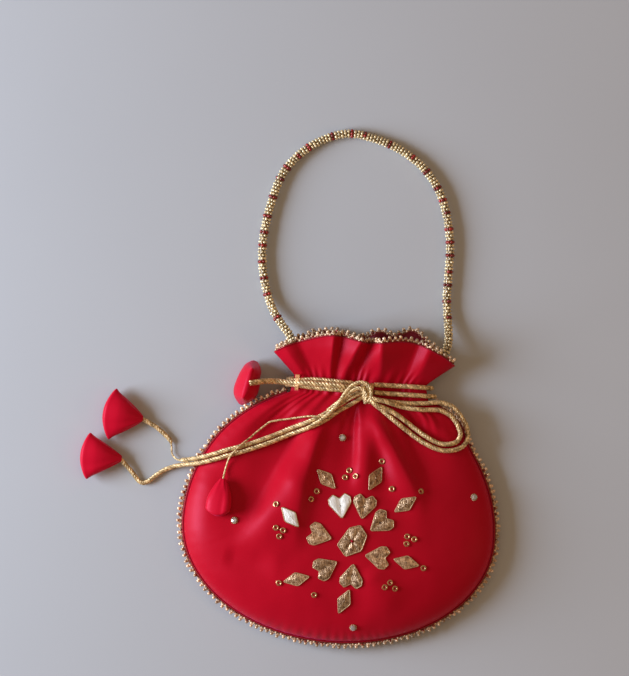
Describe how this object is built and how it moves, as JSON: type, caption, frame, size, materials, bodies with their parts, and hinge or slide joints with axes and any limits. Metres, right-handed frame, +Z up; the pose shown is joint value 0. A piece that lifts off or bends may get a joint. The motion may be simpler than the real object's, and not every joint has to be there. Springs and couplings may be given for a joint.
{
  "type": "potli bag",
  "caption": "Gathered satin drawstring pouch lying on its back, with a frilled mouth, beaded rope handle, tied gold cord with stuffed tassels and a ribbon flower on its front.",
  "frame": {"origin": "on the flat of the back where the bag rests, under the middle of the pouch", "axes": "+Z up from the back to the front of the bag, +Y from the pouch to its mouth and handle, +X to the right of the front"},
  "size_m": [0.2764, 0.3386, 0.0303],
  "materials": {
    "satin": "red satin with a soft sheen",
    "tassel_satin": "red satin, stuffed",
    "gold_lace": "gold picot lace",
    "beads": "gold seed beads",
    "gold_cord": "gold metallic twisted cord",
    "gota_ribbon": "woven metallic ribbon",
    "sequins": "gold foil",
    "stones": "foil-backed clear glass"
  },
  "bodies": {
    "root": {"front_panel": "satin", "back_panel": "satin", "seam_lace": "gold_lace", "mouth_lace_front": "gold_lace", "mouth_lace_back": "gold_lace", "handle": "beads", "neck_cord_upper": "gold_cord", "neck_cord_lower": "gold_cord", "bow_loop_outer": "gold_cord", "bow_loop_inner": "gold_cord", "tail_a": "gold_cord", "tail_b": "gold_cord", "tail_c": "gold_cord", "tail_d": "gold_cord", "bow_knot": "gold_cord", "tassel_a": "tassel_satin", "tassel_b": "tassel_satin", "tassel_c": "tassel_satin", "tassel_d": "tassel_satin", "flower_centre": "gota_ribbon", "heart_1": "gota_ribbon", "heart_2": "gota_ribbon", "heart_3": "gota_ribbon", "heart_4": "gota_ribbon", "heart_5": "gota_ribbon", "heart_6": "gota_ribbon", "heart_7": "gota_ribbon", "diamond_1": "gota_ribbon", "diamond_2": "gota_ribbon", "diamond_3": "gota_ribbon", "diamond_4": "gota_ribbon", "diamond_5": "gota_ribbon", "diamond_6": "gota_ribbon", "diamond_7": "gota_ribbon", "sequin_01": "sequins", "sequin_02": "sequins", "sequin_03": "sequins", "sequin_04": "sequins", "sequin_05": "sequins", "sequin_06": "sequins", "sequin_07": "sequins", "sequin_08": "sequins", "sequin_09": "sequins", "sequin_10": "sequins", "sequin_11": "sequins", "sequin_12": "sequins", "sequin_13": "sequins", "sequin_14": "sequins", "sequin_15": "sequins", "sequin_16": "sequins", "sequin_17": "sequins", "sequin_18": "sequins", "sequin_19": "sequins", "sequin_20": "sequins", "sequin_21": "sequins", "stone_1": "stones", "stone_2": "stones", "stone_3": "stones", "stone_4": "stones"}
  },
  "joints": []
}
